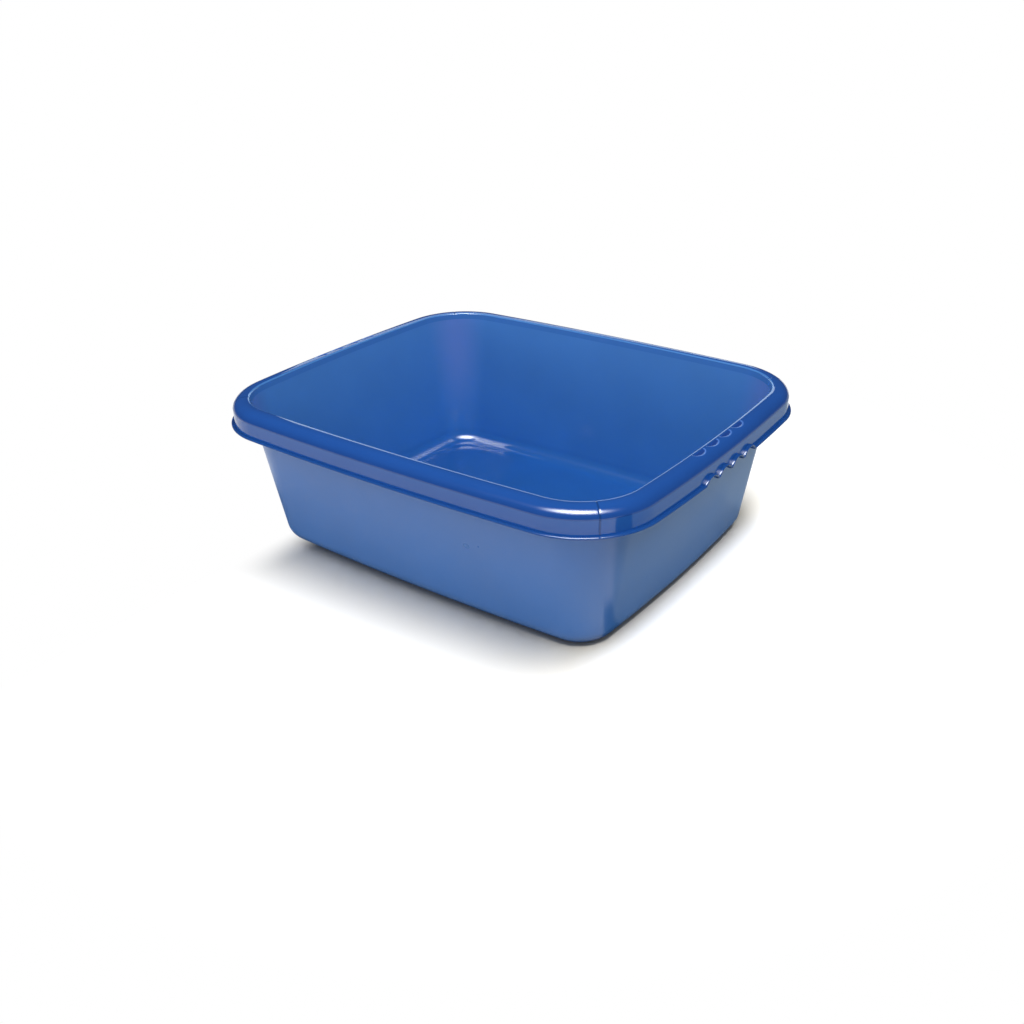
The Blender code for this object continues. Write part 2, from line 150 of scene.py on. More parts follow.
SHORT_RADIUS, SHORT_ANGLE = bowed_side(CORNER_Y)
LONG_RADIUS, LONG_ANGLE = bowed_side(CORNER_X)
RIGHT_CENTRE = Vector((LENGTH / 2.0 - SHORT_RADIUS, 0.0, 0.0))
CORNER_CENTRE = Vector((CORNER_X, CORNER_Y, 0.0))
BACK_CENTRE = Vector((0.0, WIDTH / 2.0 - LONG_RADIUS, 0.0))

grip_angle = math.asin(GRIP_HALF_LENGTH / SHORT_RADIUS)
half_corner = (RIGHT_ANGLE - SHORT_ANGLE - LONG_ANGLE) / 2.0
half_sink = SINK_REACH / CORNER_RADIUS
reach_angle = CORNER_SKIRT_REACH / LONG_RADIUS
CORNER_MIDDLE = SHORT_ANGLE + half_corner

GRIP, SHORT_REST, LONG_MIDDLE, ROUTE_END = 0, 1, 6, 7
ROUTE = (
    (RIGHT_CENTRE, grip_angle, 96),
    (RIGHT_CENTRE, SHORT_ANGLE - grip_angle, 14),
    (CORNER_CENTRE, half_corner - half_sink, 26),
    (CORNER_CENTRE, 2.0 * half_sink, 16),
    (CORNER_CENTRE, half_corner - half_sink, 26),
    (BACK_CENTRE, reach_angle, 4),
    (BACK_CENTRE, LONG_ANGLE - reach_angle, 12),
)
print("quarter outline in", sum(steps for _, _, steps in ROUTE), "steps")

# %% [markdown]
# ## Drawing a cross-section
#
# A cross-section is drawn in the plane Y = 0, at the right-hand end, as a chain that grows from one
# vertex: straight runs by extruding the tip, arcs by spinning it. An arc can be flattened in Z to
# make the ellipse that the roll of the rim follows. A point is given as its inset from the lip's
# edge and its height, which is how the drawing of such a moulding would give it.

# %% Tools for drawing and sweeping
WELD = 1e-6
SHARP_ANGLE = math.radians(35.0)


def place(inset, height):
    """Position in the plane Y = 0 of a point of a cross-section."""
    return Vector((LENGTH / 2.0 - inset, 0.0, height))


def run_to(shape, tip, inset, height, steps=1):
    """Extend the chain with a straight run, and give its new tip."""
    start = tip.co.copy()
    for step in range(steps):
        tip = bmesh.ops.extrude_vert_indiv(shape, verts=[tip])["verts"][0]
        tip.co = start.lerp(place(inset, height), (step + 1) / steps)
    return tip


def turn(shape, tip, centre, angle, steps, flatten=1.0):
    """Extend the chain with an arc, flattened in Z towards its centre, and give its new tip."""
    shape.verts.index_update()
    known = set(shape.verts)
    spun = bmesh.ops.spin(shape, geom=[tip], cent=centre, axis=(0.0, 1.0, 0.0), angle=angle,
                          steps=steps)
    arc = [vert for vert in shape.verts if vert not in known] + [tip]
    bmesh.ops.scale(shape, vec=(1.0, 1.0, flatten), space=Matrix.Translation(-centre), verts=arc)
    return [item for item in spun["geom_last"] if isinstance(item, bmesh.types.BMVert)][0]


def close(shape, tip, start):
    """Close the chain."""
    shape.edges.new((tip, start))


def sweep(shape, first, last):
    """Carry the cross-section to stretch first of the route, then spin it up to stretch last."""
    tips = list(shape.verts) + list(shape.edges)
    for index, (centre, angle, steps) in enumerate(ROUTE[:last]):
        if index < first:
            carried = Matrix.Rotation(angle, 3, "Z")
            bmesh.ops.rotate(shape, cent=centre, matrix=carried, verts=shape.verts)
        else:
            spun = bmesh.ops.spin(shape, geom=tips, cent=centre, axis=(0.0, 0.0, 1.0),
                                  angle=angle, steps=steps)
            tips = spun["geom_last"]


def mirrored(shape, axis):
    """Mirror the shape in the plane through the origin and join the halves."""
    everything = list(shape.verts) + list(shape.edges) + list(shape.faces)
    bmesh.ops.mirror(shape, geom=everything, matrix=Matrix.Identity(4), merge_dist=WELD, axis=axis)


def cap(shape):
    """Close each open end with one face."""
    rims = [edge for edge in shape.edges if edge.is_boundary]
    bmesh.ops.edgeloop_fill(shape, edges=rims)


def flipped(shape, axis):
    """Turn the shape into its mirror image on the far side of the plane through the origin."""
    sizes = [-1.0 if axis == letter else 1.0 for letter in "XYZ"]
    bmesh.ops.scale(shape, vec=sizes, verts=shape.verts)


def weld(shape):
    """Merge the vertices that meet and turn the faces outwards."""
    bmesh.ops.remove_doubles(shape, verts=shape.verts, dist=WELD)
    bmesh.ops.recalc_face_normals(shape, faces=shape.faces)
    shape.normal_update()


def as_object(shape, name):
    """Put the shape in the scene as an object of that name."""
    mesh = bpy.data.meshes.new(name)
    shape.to_mesh(mesh)
    shape.free()
    item = bpy.data.objects.new(name, mesh)
    bpy.context.scene.collection.objects.link(item)
    return item


def finished(shape, name, material, node):
    """Turn the shape into a smooth-shaded piece that rides on the basin and stands for its node."""
    weld(shape)
    piece = as_object(shape, name)
    piece.data.shade_smooth()
    piece.data.set_sharp_from_angle(angle=SHARP_ANGLE)
    piece.data.materials.append(material)
    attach(piece, "root")
    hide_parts(node)
    print(name, len(piece.data.vertices), "vertices", len(piece.data.polygons), "faces")
    return piece


# %% [markdown]
# ## Plastic
#
# The basin is injection-moulded polypropylene in one blue. The mould was polished where the rim and
# the inside were formed, so those faces shine like wet paint. It was left satin on the outside of
# the walls, which show the pale floor as a veil and not as a mirror image. The plastic lets a
# little light through; here that light is painted, as a paler blue at the inner edge of the rim and
# on the inside of the walls.
#
# Each finish is one Principled shader. Its blue changes with height, and that is painted light and
# shade: paler towards the top of the inside, where more light reaches, and darker at the foot
# of the outside and low on the rim, where less does. It also drifts in slow clouds, where the
# pigment wasn't mixed quite evenly. Shallow waves, the flow of the plastic, bend the reflections
# a little, and the satin finish adds the grain of the mould. The sizes of the clouds, the waves
# and the grain are in real millimetres.
#
# Some places differ from the skin round them, and a vertex layer marks each. The marks are
# painted light and shade. In a round corner of the inside the two walls light each other, painted
# as a soft paler band. On the rim the inner face is painted paler, and the thin edge paler still,
# as a painted highlight. The scoops have painted shade at the bottom and a painted highlight
# along their round side. The lip is painted darker, as the shade of the skirt, and the sink line
# is painted dark, as the shade of the web that stands behind it.

# %% Node helpers
CLOUD_SIZE = 0.045
CLOUD_DRIFT = 0.08
WAVE_SIZE = 0.012
WAVE_HEIGHT = 0.00002
GRAIN_SIZE = 0.0005
GRAIN_HEIGHT = 0.00002
SHINE_DRIFT = 0.2


def hex_to_linear(code):
    """Linear RGBA of an sRGB hex colour."""
    channels = [int(code[index:index + 2], 16) / 255.0 for index in (1, 3, 5)]
    linear = [c / 12.92 if c <= 0.04045 else ((c + 0.055) / 1.055) ** 2.4 for c in channels]
    return (*linear, 1.0)


def add(tree, kind, settings=None, **links):
    """Add a node; settings set its properties or its sockets, links join its sockets to others."""
    node = tree.nodes.new("ShaderNode" + kind)
    for key, value in (settings or {}).items():
        if isinstance(key, str) and hasattr(node, key):
            setattr(node, key, value)
        else:
            node.inputs[key].default_value = value
    for key, source in links.items():
        socket = int(key[1:]) if key[0] == "_" else key.replace("_", " ")
        tree.links.new(source, node.inputs[socket])
    return node


def new_material(name, **plain):
    """A material, its node tree and its Principled shader, on which the plain values are set."""
    material = bpy.data.materials.new(name)
    material.use_nodes = True
    tree = material.node_tree
    shader = tree.nodes["Principled BSDF"]
    for key, value in plain.items():
        shader.inputs[key.replace("_", " ")].default_value = value
    return material, tree, shader


# %% Blue polypropylene
def blue_plastic(name, stops, roughness, bump_size, bump_height, marks=(), ior=1.5):
    """Moulded polypropylene: stops pair heights with colours, marks pair layers with colours."""
    material, tree, shader = new_material(name, IOR=ior)
    spot = add(tree, "TexCoord").outputs["Object"]
    height = add(tree, "SeparateXYZ", Vector=spot).outputs["Z"]
    low, high = stops[0][0], stops[-1][0]
    rise = add(tree, "MapRange", {"From Min": low, "From Max": high}, Value=height)
    ramp = add(tree, "ValToRGB", Fac=rise.outputs[0])
    elements = ramp.color_ramp.elements
    for index, (level, colour) in enumerate(stops):
        if 0 < index < len(stops) - 1:
            elements.new((level - low) / (high - low))
        elements[index].color = hex_to_linear(colour)
    clouds = add(tree, "TexNoise", {"Scale": 1.0 / CLOUD_SIZE, "Detail": 2.0}, Vector=spot)
    drift = add(tree, "MapRange", {"To Min": 1.0 - CLOUD_DRIFT, "To Max": 1.0 + CLOUD_DRIFT},
                Value=clouds.outputs[0])
    blue = add(tree, "HueSaturation", Color=ramp.outputs["Color"],
               Value=drift.outputs[0]).outputs[0]
    for layer, colour in marks:
        mark = add(tree, "Attribute", {"attribute_name": layer})
        blue = add(tree, "Mix", {"data_type": "RGBA", 7: hex_to_linear(colour)},
                   _0=mark.outputs["Fac"], _6=blue).outputs[2]
    tree.links.new(blue, shader.inputs["Base Color"])
    bumps = add(tree, "TexNoise", {"Scale": 1.0 / bump_size, "Detail": 2.0}, Vector=spot)
    bump = add(tree, "Bump", {"Distance": bump_height}, Height=bumps.outputs[0])
    tree.links.new(bump.outputs[0], shader.inputs["Normal"])
    shine = add(tree, "MapRange", {"To Min": (1.0 - SHINE_DRIFT) * roughness,
                                   "To Max": (1.0 + SHINE_DRIFT) * roughness},
                Value=clouds.outputs[0])
    tree.links.new(shine.outputs[0], shader.inputs["Roughness"])
    return material


# %% Four finishes
POLISHED = 0.06
POLISHED_SKIRT = 0.08
SATIN = 0.30
SATIN_IOR = 1.58
# The plastic is one blue, so the differences between these four sets of blues are painted light and
# shade as well: the rim and the skirt are set darker than the walls, and the height stops paint
# shade low down and light higher up.
INSIDE_BLUES = ((0.002, "#1C4D8E"), (0.016, "#2D61A3"), (0.115, "#3C6CAA"))
OUTSIDE_BLUES = ((0.000, "#22508A"), (0.006, "#3765A3"), (0.050, "#2F61A2"),
                 (0.110, "#295A9C"))
RIM_BLUES = ((0.110, "#153F7A"), (0.1175, "#193F80"), (0.1235, "#1B468A"))
SKIRT_BLUES = ((0.104, "#18478C"), (0.117, "#1D4D91"))
# The marks paint light and shade into the blue: a paler band in the inside corners, painted light on
# the rim's inner face, painted highlights on its inner edge and along the scoops, and painted shade
# in the scoops, on the lip and along the sink lines.
INSIDE_MARKS = (("corner_glow", "#4C6BAA"),)
RIM_MARKS = (
    ("inner_face_painted_light", "#3462A2"),
    ("edge_painted_highlight", "#3F71AE"),
    ("scoop_depth_and_painted_shade", "#17397C"),
    ("scoop_painted_highlight", "#4A72B8"),
    ("web_line_and_painted_shade", "#12356A"),
)
SKIRT_MARKS = (("lip_shade", "#17417F"), ("web_line_and_painted_shade", "#12356A"))
inside_gloss = blue_plastic("polypropylene_polished_inside", INSIDE_BLUES, POLISHED,
                            WAVE_SIZE, WAVE_HEIGHT, INSIDE_MARKS)
outside_satin = blue_plastic("polypropylene_satin_outside", OUTSIDE_BLUES, SATIN,
                             GRAIN_SIZE, GRAIN_HEIGHT, ior=SATIN_IOR)
rim_gloss = blue_plastic("polypropylene_polished_rim", RIM_BLUES, POLISHED,
                         WAVE_SIZE, WAVE_HEIGHT, RIM_MARKS)
skirt_gloss = blue_plastic("polypropylene_polished_skirt", SKIRT_BLUES, POLISHED_SKIRT,
                           WAVE_SIZE, WAVE_HEIGHT, SKIRT_MARKS)
for finish in (inside_gloss, outside_satin, rim_gloss, skirt_gloss):
    print(finish.name, len(finish.node_tree.nodes), "nodes")

# %% [markdown]
# ## Wall lines and the heel
#
# The walls lean out by a bit over nine degrees, the draft that lets the moulding leave its mould
# and lets basins stack. The inner and the outer face are straight lines in the cross-section. The
# heel joins the wall to the floor with a wide round, which keeps the corner strong and easy to
# wipe: outside it is part of a circle, inside it is flattened a little, because the floor is
# thicker than the wall.

# %% Where the walls run
ROLL_HALF_WIDTH = (CREST_INSET - SKIRT_INSET) / math.sqrt(
    1.0 - ((ROLL_END_HEIGHT - ROLL_CENTRE_HEIGHT) / ROLL_HALF_HEIGHT) ** 2
)
EDGE_HEIGHT = ROLL_CENTRE_HEIGHT + ROLL_HALF_HEIGHT * math.sqrt(
    1.0 - ((INNER_EDGE_INSET - CREST_INSET) / ROLL_HALF_WIDTH) ** 2
)


def inner_wall(height):
    """Inset of the inner face of the wall at a height."""
    return INNER_EDGE_INSET + math.tan(DRAFT_ANGLE) * (EDGE_HEIGHT - height)


def outer_wall(height):
    """Inset of the outer face of the wall at a height."""
    return inner_wall(height) - WALL_THICKNESS / math.cos(DRAFT_ANGLE)


print("wall inset at the base", round(outer_wall(0.0), 4))
print("wall inset at the top", round(outer_wall(WALL_TOP_HEIGHT), 4))

# %% Glow of the corners and finish of the outside
GLOW_LOW = 0.010
GLOW_RISE = 0.090
OUTWARD_LEAST = 0.05
DOWNWARD_LEAST = 0.5


def eased(share):
    """Rise from 0 to 1 with soft ends."""
    share = min(max(share, 0.0), 1.0)
    return share * share * (3.0 - 2.0 * share)


def outer_faces_satin(piece):
    """Give the faces that look outwards or down the satin finish of the outside."""
    piece.data.materials.append(outside_satin)
    for face in piece.data.polygons:
        outward = Vector((face.center.x / LENGTH, face.center.y / WIDTH, 0.0))
        if face.normal.dot(outward) > OUTWARD_LEAST or face.normal.z < -DOWNWARD_LEAST:
            face.material_index = 1


# The nearness sets a painted paler band, standing in for the light that the two walls of a round
# corner reflect on each other.
def corner_glow(vert):
    """Nearness to the top of the right-hand back corner's middle, from 0 to 1."""
    arm = vert.co - CORNER_CENTRE
    turned = (math.atan2(arm.y, arm.x) - CORNER_MIDDLE) / half_corner
    rise = eased((vert.co.z - GLOW_LOW) / GLOW_RISE)
    return rise * eased(1.0 - abs(turned)) if min(arm.x, arm.y) > 0.0 else 0.0


def full_ring(shape):
    """Sweep the cross-section round a quarter of the basin and mirror it twice."""
    layer = shape.verts.layers.float.new("corner_glow")
    sweep(shape, GRIP, ROUTE_END)
    for vert in shape.verts:
        vert[layer] = corner_glow(vert)
    mirrored(shape, "Y")
    mirrored(shape, "X")


# %% Heel
HEEL_STEPS = 18
LAND = 0.0015
HEEL_TURN = RIGHT_ANGLE - DRAFT_ANGLE
HEEL_INSET = outer_wall(HEEL_RADIUS) + HEEL_RADIUS / math.cos(DRAFT_ANGLE)
HEEL_CENTRE = place(HEEL_INSET, HEEL_RADIUS)
INNER_HEEL_RADIUS = HEEL_RADIUS - WALL_THICKNESS

shape = bmesh.new()
tip = start = shape.verts.new(place(HEEL_INSET + LAND, 0.0))
tip = run_to(shape, tip, HEEL_INSET, 0.0)
tip = turn(shape, tip, HEEL_CENTRE, -HEEL_TURN, HEEL_STEPS)
foot_height = tip.co.z + LAND
tip = run_to(shape, tip, outer_wall(foot_height), foot_height)
tip = run_to(shape, tip, inner_wall(foot_height), foot_height)
inner_start_inset = HEEL_INSET - INNER_HEEL_RADIUS * math.cos(DRAFT_ANGLE)
inner_start_height = HEEL_RADIUS - INNER_HEEL_RADIUS * math.sin(DRAFT_ANGLE)
tip = run_to(shape, tip, inner_start_inset, inner_start_height)
flatten = (HEEL_RADIUS - FLOOR_THICKNESS) / INNER_HEEL_RADIUS
tip = turn(shape, tip, HEEL_CENTRE, HEEL_TURN, HEEL_STEPS, flatten)
tip = run_to(shape, tip, HEEL_INSET + LAND, FLOOR_THICKNESS)
close(shape, tip, start)
full_ring(shape)
outer_faces_satin(finished(shape, "heel", inside_gloss, "heel_ring"))

# %% [markdown]
# ## Floor and wall
#
# The floor is a flat sheet inside the heel's ring. It is swept as a rim of its own thickness and
# capped above and below. The wall is one slanted band all the way round, with the polished finish
# on its inside and the satin one on its outside.

# %% Floor
shape = bmesh.new()
tip = shape.verts.new(place(HEEL_INSET + LAND, 0.0))
run_to(shape, tip, HEEL_INSET + LAND, FLOOR_THICKNESS)
full_ring(shape)
cap(shape)
finished(shape, "floor", inside_gloss, "floor_panel")

# %% Wall
WALL_STEPS = 8
shape = bmesh.new()
tip = start = shape.verts.new(place(outer_wall(foot_height), foot_height))
tip = run_to(shape, tip, outer_wall(WALL_TOP_HEIGHT), WALL_TOP_HEIGHT, WALL_STEPS)
tip = run_to(shape, tip, inner_wall(WALL_TOP_HEIGHT), WALL_TOP_HEIGHT)
tip = run_to(shape, tip, inner_wall(foot_height), foot_height, WALL_STEPS)
close(shape, tip, start)
full_ring(shape)
outer_faces_satin(finished(shape, "wall", inside_gloss, "side_wall"))

# %% [markdown]
# ## The rolled rim
#
# The top of the wall is rolled outwards, which stiffens the basin and gives the hand a smooth edge.
# In cross-section the roll is an arc of an ellipse, rounded off where it meets the inner face of
# the wall. That inner edge, where the skin is thinnest, shows as a pale line, which is a painted
# highlight. A vertex layer marks it for the material: it is set on the cross-section, and the
# sweep copies it all the way round.

# %% The roll's ellipse
EDGE_RADIUS = 0.0018
EDGE_TOUCH_INSET = 0.0148
EDGE_STEPS = 10
ROLL_STEPS = 44
UNDER_STEPS = 16
SEAM_HEIGHT = ROLL_END_HEIGHT - 0.0008
# Share of the inner edge's height, from the wall up, that carries the painted highlight.
HIGHLIGHT_START = 0.25
HIGHLIGHT_END = 1.0


def roll_point(angle, depth=0.0, half_height=ROLL_HALF_HEIGHT):
    """Inset and height on or under the roll; angle 0 faces outwards, a right angle is the crest."""
    inset = CREST_INSET - (ROLL_HALF_WIDTH - depth) * math.cos(angle)
    return inset, ROLL_CENTRE_HEIGHT + (half_height - depth) * math.sin(angle)


def roll_angle(height, depth=0.0):
    """Angle of the outer part of the roll at a height."""
    return math.asin((height - ROLL_CENTRE_HEIGHT) / (ROLL_HALF_HEIGHT - depth))


def lean_at(angle):
    """How far the roll's surface leans outwards from level at an angle of the ellipse."""
    return math.atan2(math.cos(angle) / ROLL_HALF_WIDTH, math.sin(angle) / ROLL_HALF_HEIGHT)


touch_angle = RIGHT_ANGLE + math.asin((EDGE_TOUCH_INSET - CREST_INSET) / ROLL_HALF_WIDTH)
touch_lean = lean_at(touch_angle)
wall_lean = -(RIGHT_ANGLE - DRAFT_ANGLE)
touch_inset, touch_height = roll_point(touch_angle)
edge_inset = touch_inset + EDGE_RADIUS * math.sin(touch_lean)
edge_height = touch_height - EDGE_RADIUS * math.cos(touch_lean)
edge_start = (edge_inset - EDGE_RADIUS * math.sin(wall_lean),
              edge_height + EDGE_RADIUS * math.cos(wall_lean))
edge_gap = edge_start[0] - inner_wall(edge_start[1])
print("inner edge starts", round(edge_gap, 5), "m from the wall's face")

# %% Cross-section of the rim
FIRST_GUESS = math.radians(20.0)
GUESS_ROUNDS = 8
under_touch = RIGHT_ANGLE + FIRST_GUESS
for _ in range(GUESS_ROUNDS):
    reach = outer_wall(roll_point(under_touch, WALL_THICKNESS)[1])
    sine = (reach - CREST_INSET) / (ROLL_HALF_WIDTH - WALL_THICKNESS)
    under_touch = RIGHT_ANGLE + math.asin(sine)
under_start = roll_angle(ROLL_END_HEIGHT, WALL_THICKNESS)
roll_flatten = ROLL_HALF_HEIGHT / ROLL_HALF_WIDTH
under_flatten = (ROLL_HALF_HEIGHT - WALL_THICKNESS) / (ROLL_HALF_WIDTH - WALL_THICKNESS)
roll_centre = place(CREST_INSET, ROLL_CENTRE_HEIGHT)

shape = bmesh.new()
# The inner face of the wall at the rim is painted paler, and its inner edge carries a painted
# highlight; these layers mark both for the material.
edge_painted_highlight = shape.verts.layers.float.new("edge_painted_highlight")
inner_face_painted_light = shape.verts.layers.float.new("inner_face_painted_light")
tip = start = shape.verts.new(place(inner_wall(WALL_TOP_HEIGHT), WALL_TOP_HEIGHT))
tip = run_to(shape, tip, *edge_start, 2)
for vert in shape.verts:
    vert[inner_face_painted_light] = 1.0
before = set(shape.verts)
tip = turn(shape, tip, place(edge_inset, edge_height), touch_lean - wall_lean, EDGE_STEPS)
for vert in shape.verts:
    if vert not in before:
        share = (vert.co.z - edge_start[1]) / (touch_height - edge_start[1])
        vert[edge_painted_highlight] = 1.0 if HIGHLIGHT_START < share < HIGHLIGHT_END else 0.0
        vert[inner_face_painted_light] = 0.0
tip[edge_painted_highlight] = 0.0
tip.co = place(*roll_point(touch_angle, 0.0, ROLL_HALF_WIDTH))
roll_turn = touch_angle - roll_angle(ROLL_END_HEIGHT)
tip = turn(shape, tip, roll_centre, roll_turn, ROLL_STEPS, roll_flatten)
tip = run_to(shape, tip, SKIRT_INSET, SEAM_HEIGHT, 2)
tip = run_to(shape, tip, SKIRT_INSET + WALL_THICKNESS, SEAM_HEIGHT)
tip = run_to(shape, tip, *roll_point(under_start, WALL_THICKNESS, ROLL_HALF_WIDTH))
tip = turn(shape, tip, roll_centre, under_start - under_touch, UNDER_STEPS, under_flatten)
tip = run_to(shape, tip, outer_wall(WALL_TOP_HEIGHT), WALL_TOP_HEIGHT)
close(shape, tip, start)
sweep(shape, GRIP, ROUTE_END)
weld(shape)

# %% [markdown]
# ## Finger scoops and sink lines
#
# Over each finger arch the mould has pressed a shallow D-shaped scoop into the top of the roll,
# with its straight side along the inner edge, as a rest for the thumb's side of the hand. In the
# middle of each corner a thin web stands between wall and skirt. Plastic shrinks as it cools, most
# where it is thick, so the web draws the skin above it in: a faint line runs over the roll and down
# the skirt.
#
# Both are carved by moving the skin's vertices in along their normals. The depth fades to nothing
# at the edge of each mark, as the smooth edges of a worn mould would give.

# %% Form of the scoops and of the sink lines
SCOOP_STRAIGHT_INSET = 0.0135
SCOOP_WIDTH = 0.0047
SCOOP_HALF_LENGTH = 0.0075
SCOOP_DEPTH = 0.0007
SCOOP_SLOPE = 0.0010
SCOOP_EDGE = 0.0008
SINK_DEPTH = 0.00020


def arch_middles():
    """Distances of the arches from the middle of the side."""
    return [(index - (ARCH_COUNT - 1) / 2.0) * ARCH_PITCH for index in range(ARCH_COUNT)]


def scoop_borders(vert):
    """How far inside its scoop's round side and straight side a vertex at the right lies."""
    arm = vert.co - RIGHT_CENTRE
    inset = SHORT_RADIUS - arm.xy.length
    along = SHORT_RADIUS * math.atan2(arm.y, arm.x)
    middle = min(arch_middles(), key=lambda candidate: abs(candidate - along))
    across = (SCOOP_STRAIGHT_INSET - inset) / SCOOP_WIDTH
    lengthwise = (along - middle) / SCOOP_HALF_LENGTH
    reach = math.hypot(across, lengthwise)
    slope = math.hypot(across / SCOOP_WIDTH, lengthwise / SCOOP_HALF_LENGTH) / max(reach, WELD)
    return (1.0 - reach) / max(slope, 1.0 / SCOOP_HALF_LENGTH), SCOOP_STRAIGHT_INSET - inset


# The same share sets the painted shade at the bottom of the scoops.
def scoop_depth_and_painted_shade(vert):
    """Share of the full depth that the scoops have at a vertex on top of the roll."""
    return eased(min(scoop_borders(vert)) / SCOOP_SLOPE)


def scoop_depth(vert):
    """Depth of the scoops at a vertex on top of the roll."""
    return SCOOP_DEPTH * scoop_depth_and_painted_shade(vert)


def scoop_painted_highlight(vert):
    """Strength of the painted highlight, a pale line along a scoop's round side."""
    from_round, from_straight = scoop_borders(vert)
    return eased(1.0 - abs(from_round) / SCOOP_EDGE) * eased(from_straight / SCOOP_EDGE)


# The nearness sets both the depth of the sink line and its painted shade, which stands in for the
# shade of the web behind the skin.
def web_line_and_painted_shade(vert):
    """Nearness of a vertex to the middle of the right-hand back corner, from 0 to 1."""
    arm = vert.co - CORNER_CENTRE
    across = CORNER_RADIUS * (math.atan2(arm.y, arm.x) - CORNER_MIDDLE)
    return eased(1.0 - abs(across) / SINK_REACH) if min(arm.x, arm.y) > 0.0 else 0.0


def sink_depth(vert):
    """Depth of the sink line over the web."""
    return SINK_DEPTH * web_line_and_painted_shade(vert)


# %% Carving the skin
UPWARD_LEAST = 0.5
SIDEWARD_LEAST = 0.3
ROLL_UPWARD_LEAST = 0.3


def mark(shape, name, strength_at, chosen):
    """Write a strength on the chosen vertices into the layer of that name."""
    layer = shape.verts.layers.float.get(name) or shape.verts.layers.float.new(name)
    for vert in shape.verts:
        vert[layer] = strength_at(vert) if chosen(vert) else 0.0


def carve(shape, depth_at, chosen):
    """Move the chosen vertices in along their normals by the depth at each."""
    moves = [(vert, vert.normal * depth_at(vert)) for vert in shape.verts if chosen(vert)]
    for vert, move in moves:
        vert.co -= move
    print("carved", sum(move.length > WELD for _, move in moves), "vertices")


def faces_out(vert):
    """Whether the skin at a vertex faces up or away from the middle of the basin."""
    sideward = vert.normal.xy.dot(vert.co.xy)
    return vert.normal.z > UPWARD_LEAST or sideward > SIDEWARD_LEAST * vert.co.xy.length


def on_roll(vert):
    """Whether a vertex lies on the top of the roll."""
    return vert.normal.z > ROLL_UPWARD_LEAST and vert.co.z > WALL_TOP_HEIGHT


# The scoops get painted shade at the bottom and a painted highlight along their round side.
mark(shape, "scoop_depth_and_painted_shade", scoop_depth_and_painted_shade, on_roll)
mark(shape, "scoop_painted_highlight", scoop_painted_highlight, on_roll)
# The sink line is painted dark, as the shade of the web behind it.
mark(shape, "web_line_and_painted_shade", web_line_and_painted_shade, faces_out)
carve(shape, scoop_depth, on_roll)
carve(shape, sink_depth, faces_out)
mirrored(shape, "Y")
mirrored(shape, "X")
finished(shape, "rim", rim_gloss, "rim_roll")

# %% [markdown]
# ## The skirt
#
# Below the roll the rim turns down into an upright skirt, and a small rounded lip stands out along
# its foot. The lip stiffens the skirt's edge and hides it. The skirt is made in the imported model's
# own stretches: one along each long side, and one round each corner as far as the grip. Only the
# right-hand back corner and half of the back are drawn, the others are mirror images.

# %% Skirt stretches
LIP_THICKNESS = 0.0016
LIP_TOP_ROUND = 0.0012
LIP_FOOT_ROUND = 0.0004
LIP_BLEND = 0.0003
LIP_STEPS = 8
PANEL_STEPS = 3


def skirt_stretch(name, first, last, axes):
    """The skirt along the route from stretch first up to stretch last, mirrored in axes."""
    shape = bmesh.new()
    lip_shade = shape.verts.layers.float.new("lip_shade")
    inner = SKIRT_INSET + WALL_THICKNESS
    top = LIP_HEIGHT + LIP_THICKNESS
    tip = start = shape.verts.new(place(inner, SEAM_HEIGHT))
    tip = run_to(shape, tip, SKIRT_INSET, SEAM_HEIGHT)
    tip = run_to(shape, tip, SKIRT_INSET, top + LIP_BLEND, PANEL_STEPS)
    panel = set(shape.verts)
    tip = run_to(shape, tip, SKIRT_INSET, top)
    tip = run_to(shape, tip, LIP_TOP_ROUND, top)
    for centre in (place(LIP_TOP_ROUND, top - LIP_TOP_ROUND),
                   place(LIP_FOOT_ROUND, LIP_HEIGHT + LIP_FOOT_ROUND)):
        tip = turn(shape, tip, centre, RIGHT_ANGLE, LIP_STEPS)
    tip = run_to(shape, tip, inner, LIP_HEIGHT)
    close(shape, tip, start)
    for vert in shape.verts:
        vert[lip_shade] = 0.0 if vert in panel else 1.0
    sweep(shape, first, last)
    if first == LONG_MIDDLE:
        mirrored(shape, "X")
    else:
        weld(shape)
        # The sink line on the skirt is painted dark too, as the shade of the web behind it.
        mark(shape, "web_line_and_painted_shade", web_line_and_painted_shade, lambda vert: faces_out(vert) and vert.co.z > top)
        carve(shape, sink_depth, faces_out)
    cap(shape)
    for axis in axes:
        flipped(shape, axis)
    finished(shape, name, skirt_gloss, name)


skirt_stretch("skirt_back", LONG_MIDDLE, ROUTE_END, "")
skirt_stretch("skirt_front", LONG_MIDDLE, ROUTE_END, "Y")
skirt_stretch("skirt_corner_back_right", SHORT_REST, LONG_MIDDLE, "")
skirt_stretch("skirt_corner_back_left", SHORT_REST, LONG_MIDDLE, "X")
skirt_stretch("skirt_corner_front_right", SHORT_REST, LONG_MIDDLE, "Y")
skirt_stretch("skirt_corner_front_left", SHORT_REST, LONG_MIDDLE, "XY")

# %% [markdown]
# ## Finger grips
#
# At each short side the skirt's foot rises in four arches, one for each finger of the hand that
# lifts the basin there. The lip follows them as a rounded bead, so that no edge cuts into the
# fingers.
#
# The grip is a sheet of vertices draped over the side. Each column of the sheet is one
# cross-section: down the inner face, over the top, down the outer face to the bead, round the bead
# and back. From column to column the section walks along the arches, from one foot over the crown
# to the next foot.

# %% Grip sections
VALLEY = 0.0009
CROWN = 0.0060
OPENING_RISE = 0.0046
OPENING_HALF = 0.0083
BEAD_ROUND = 0.0014
ARCH_SLENDER = 1.6
ARCH_STEPS = 28
BEAD_STEPS = 10
FIRST_BEAD_ROW = 3


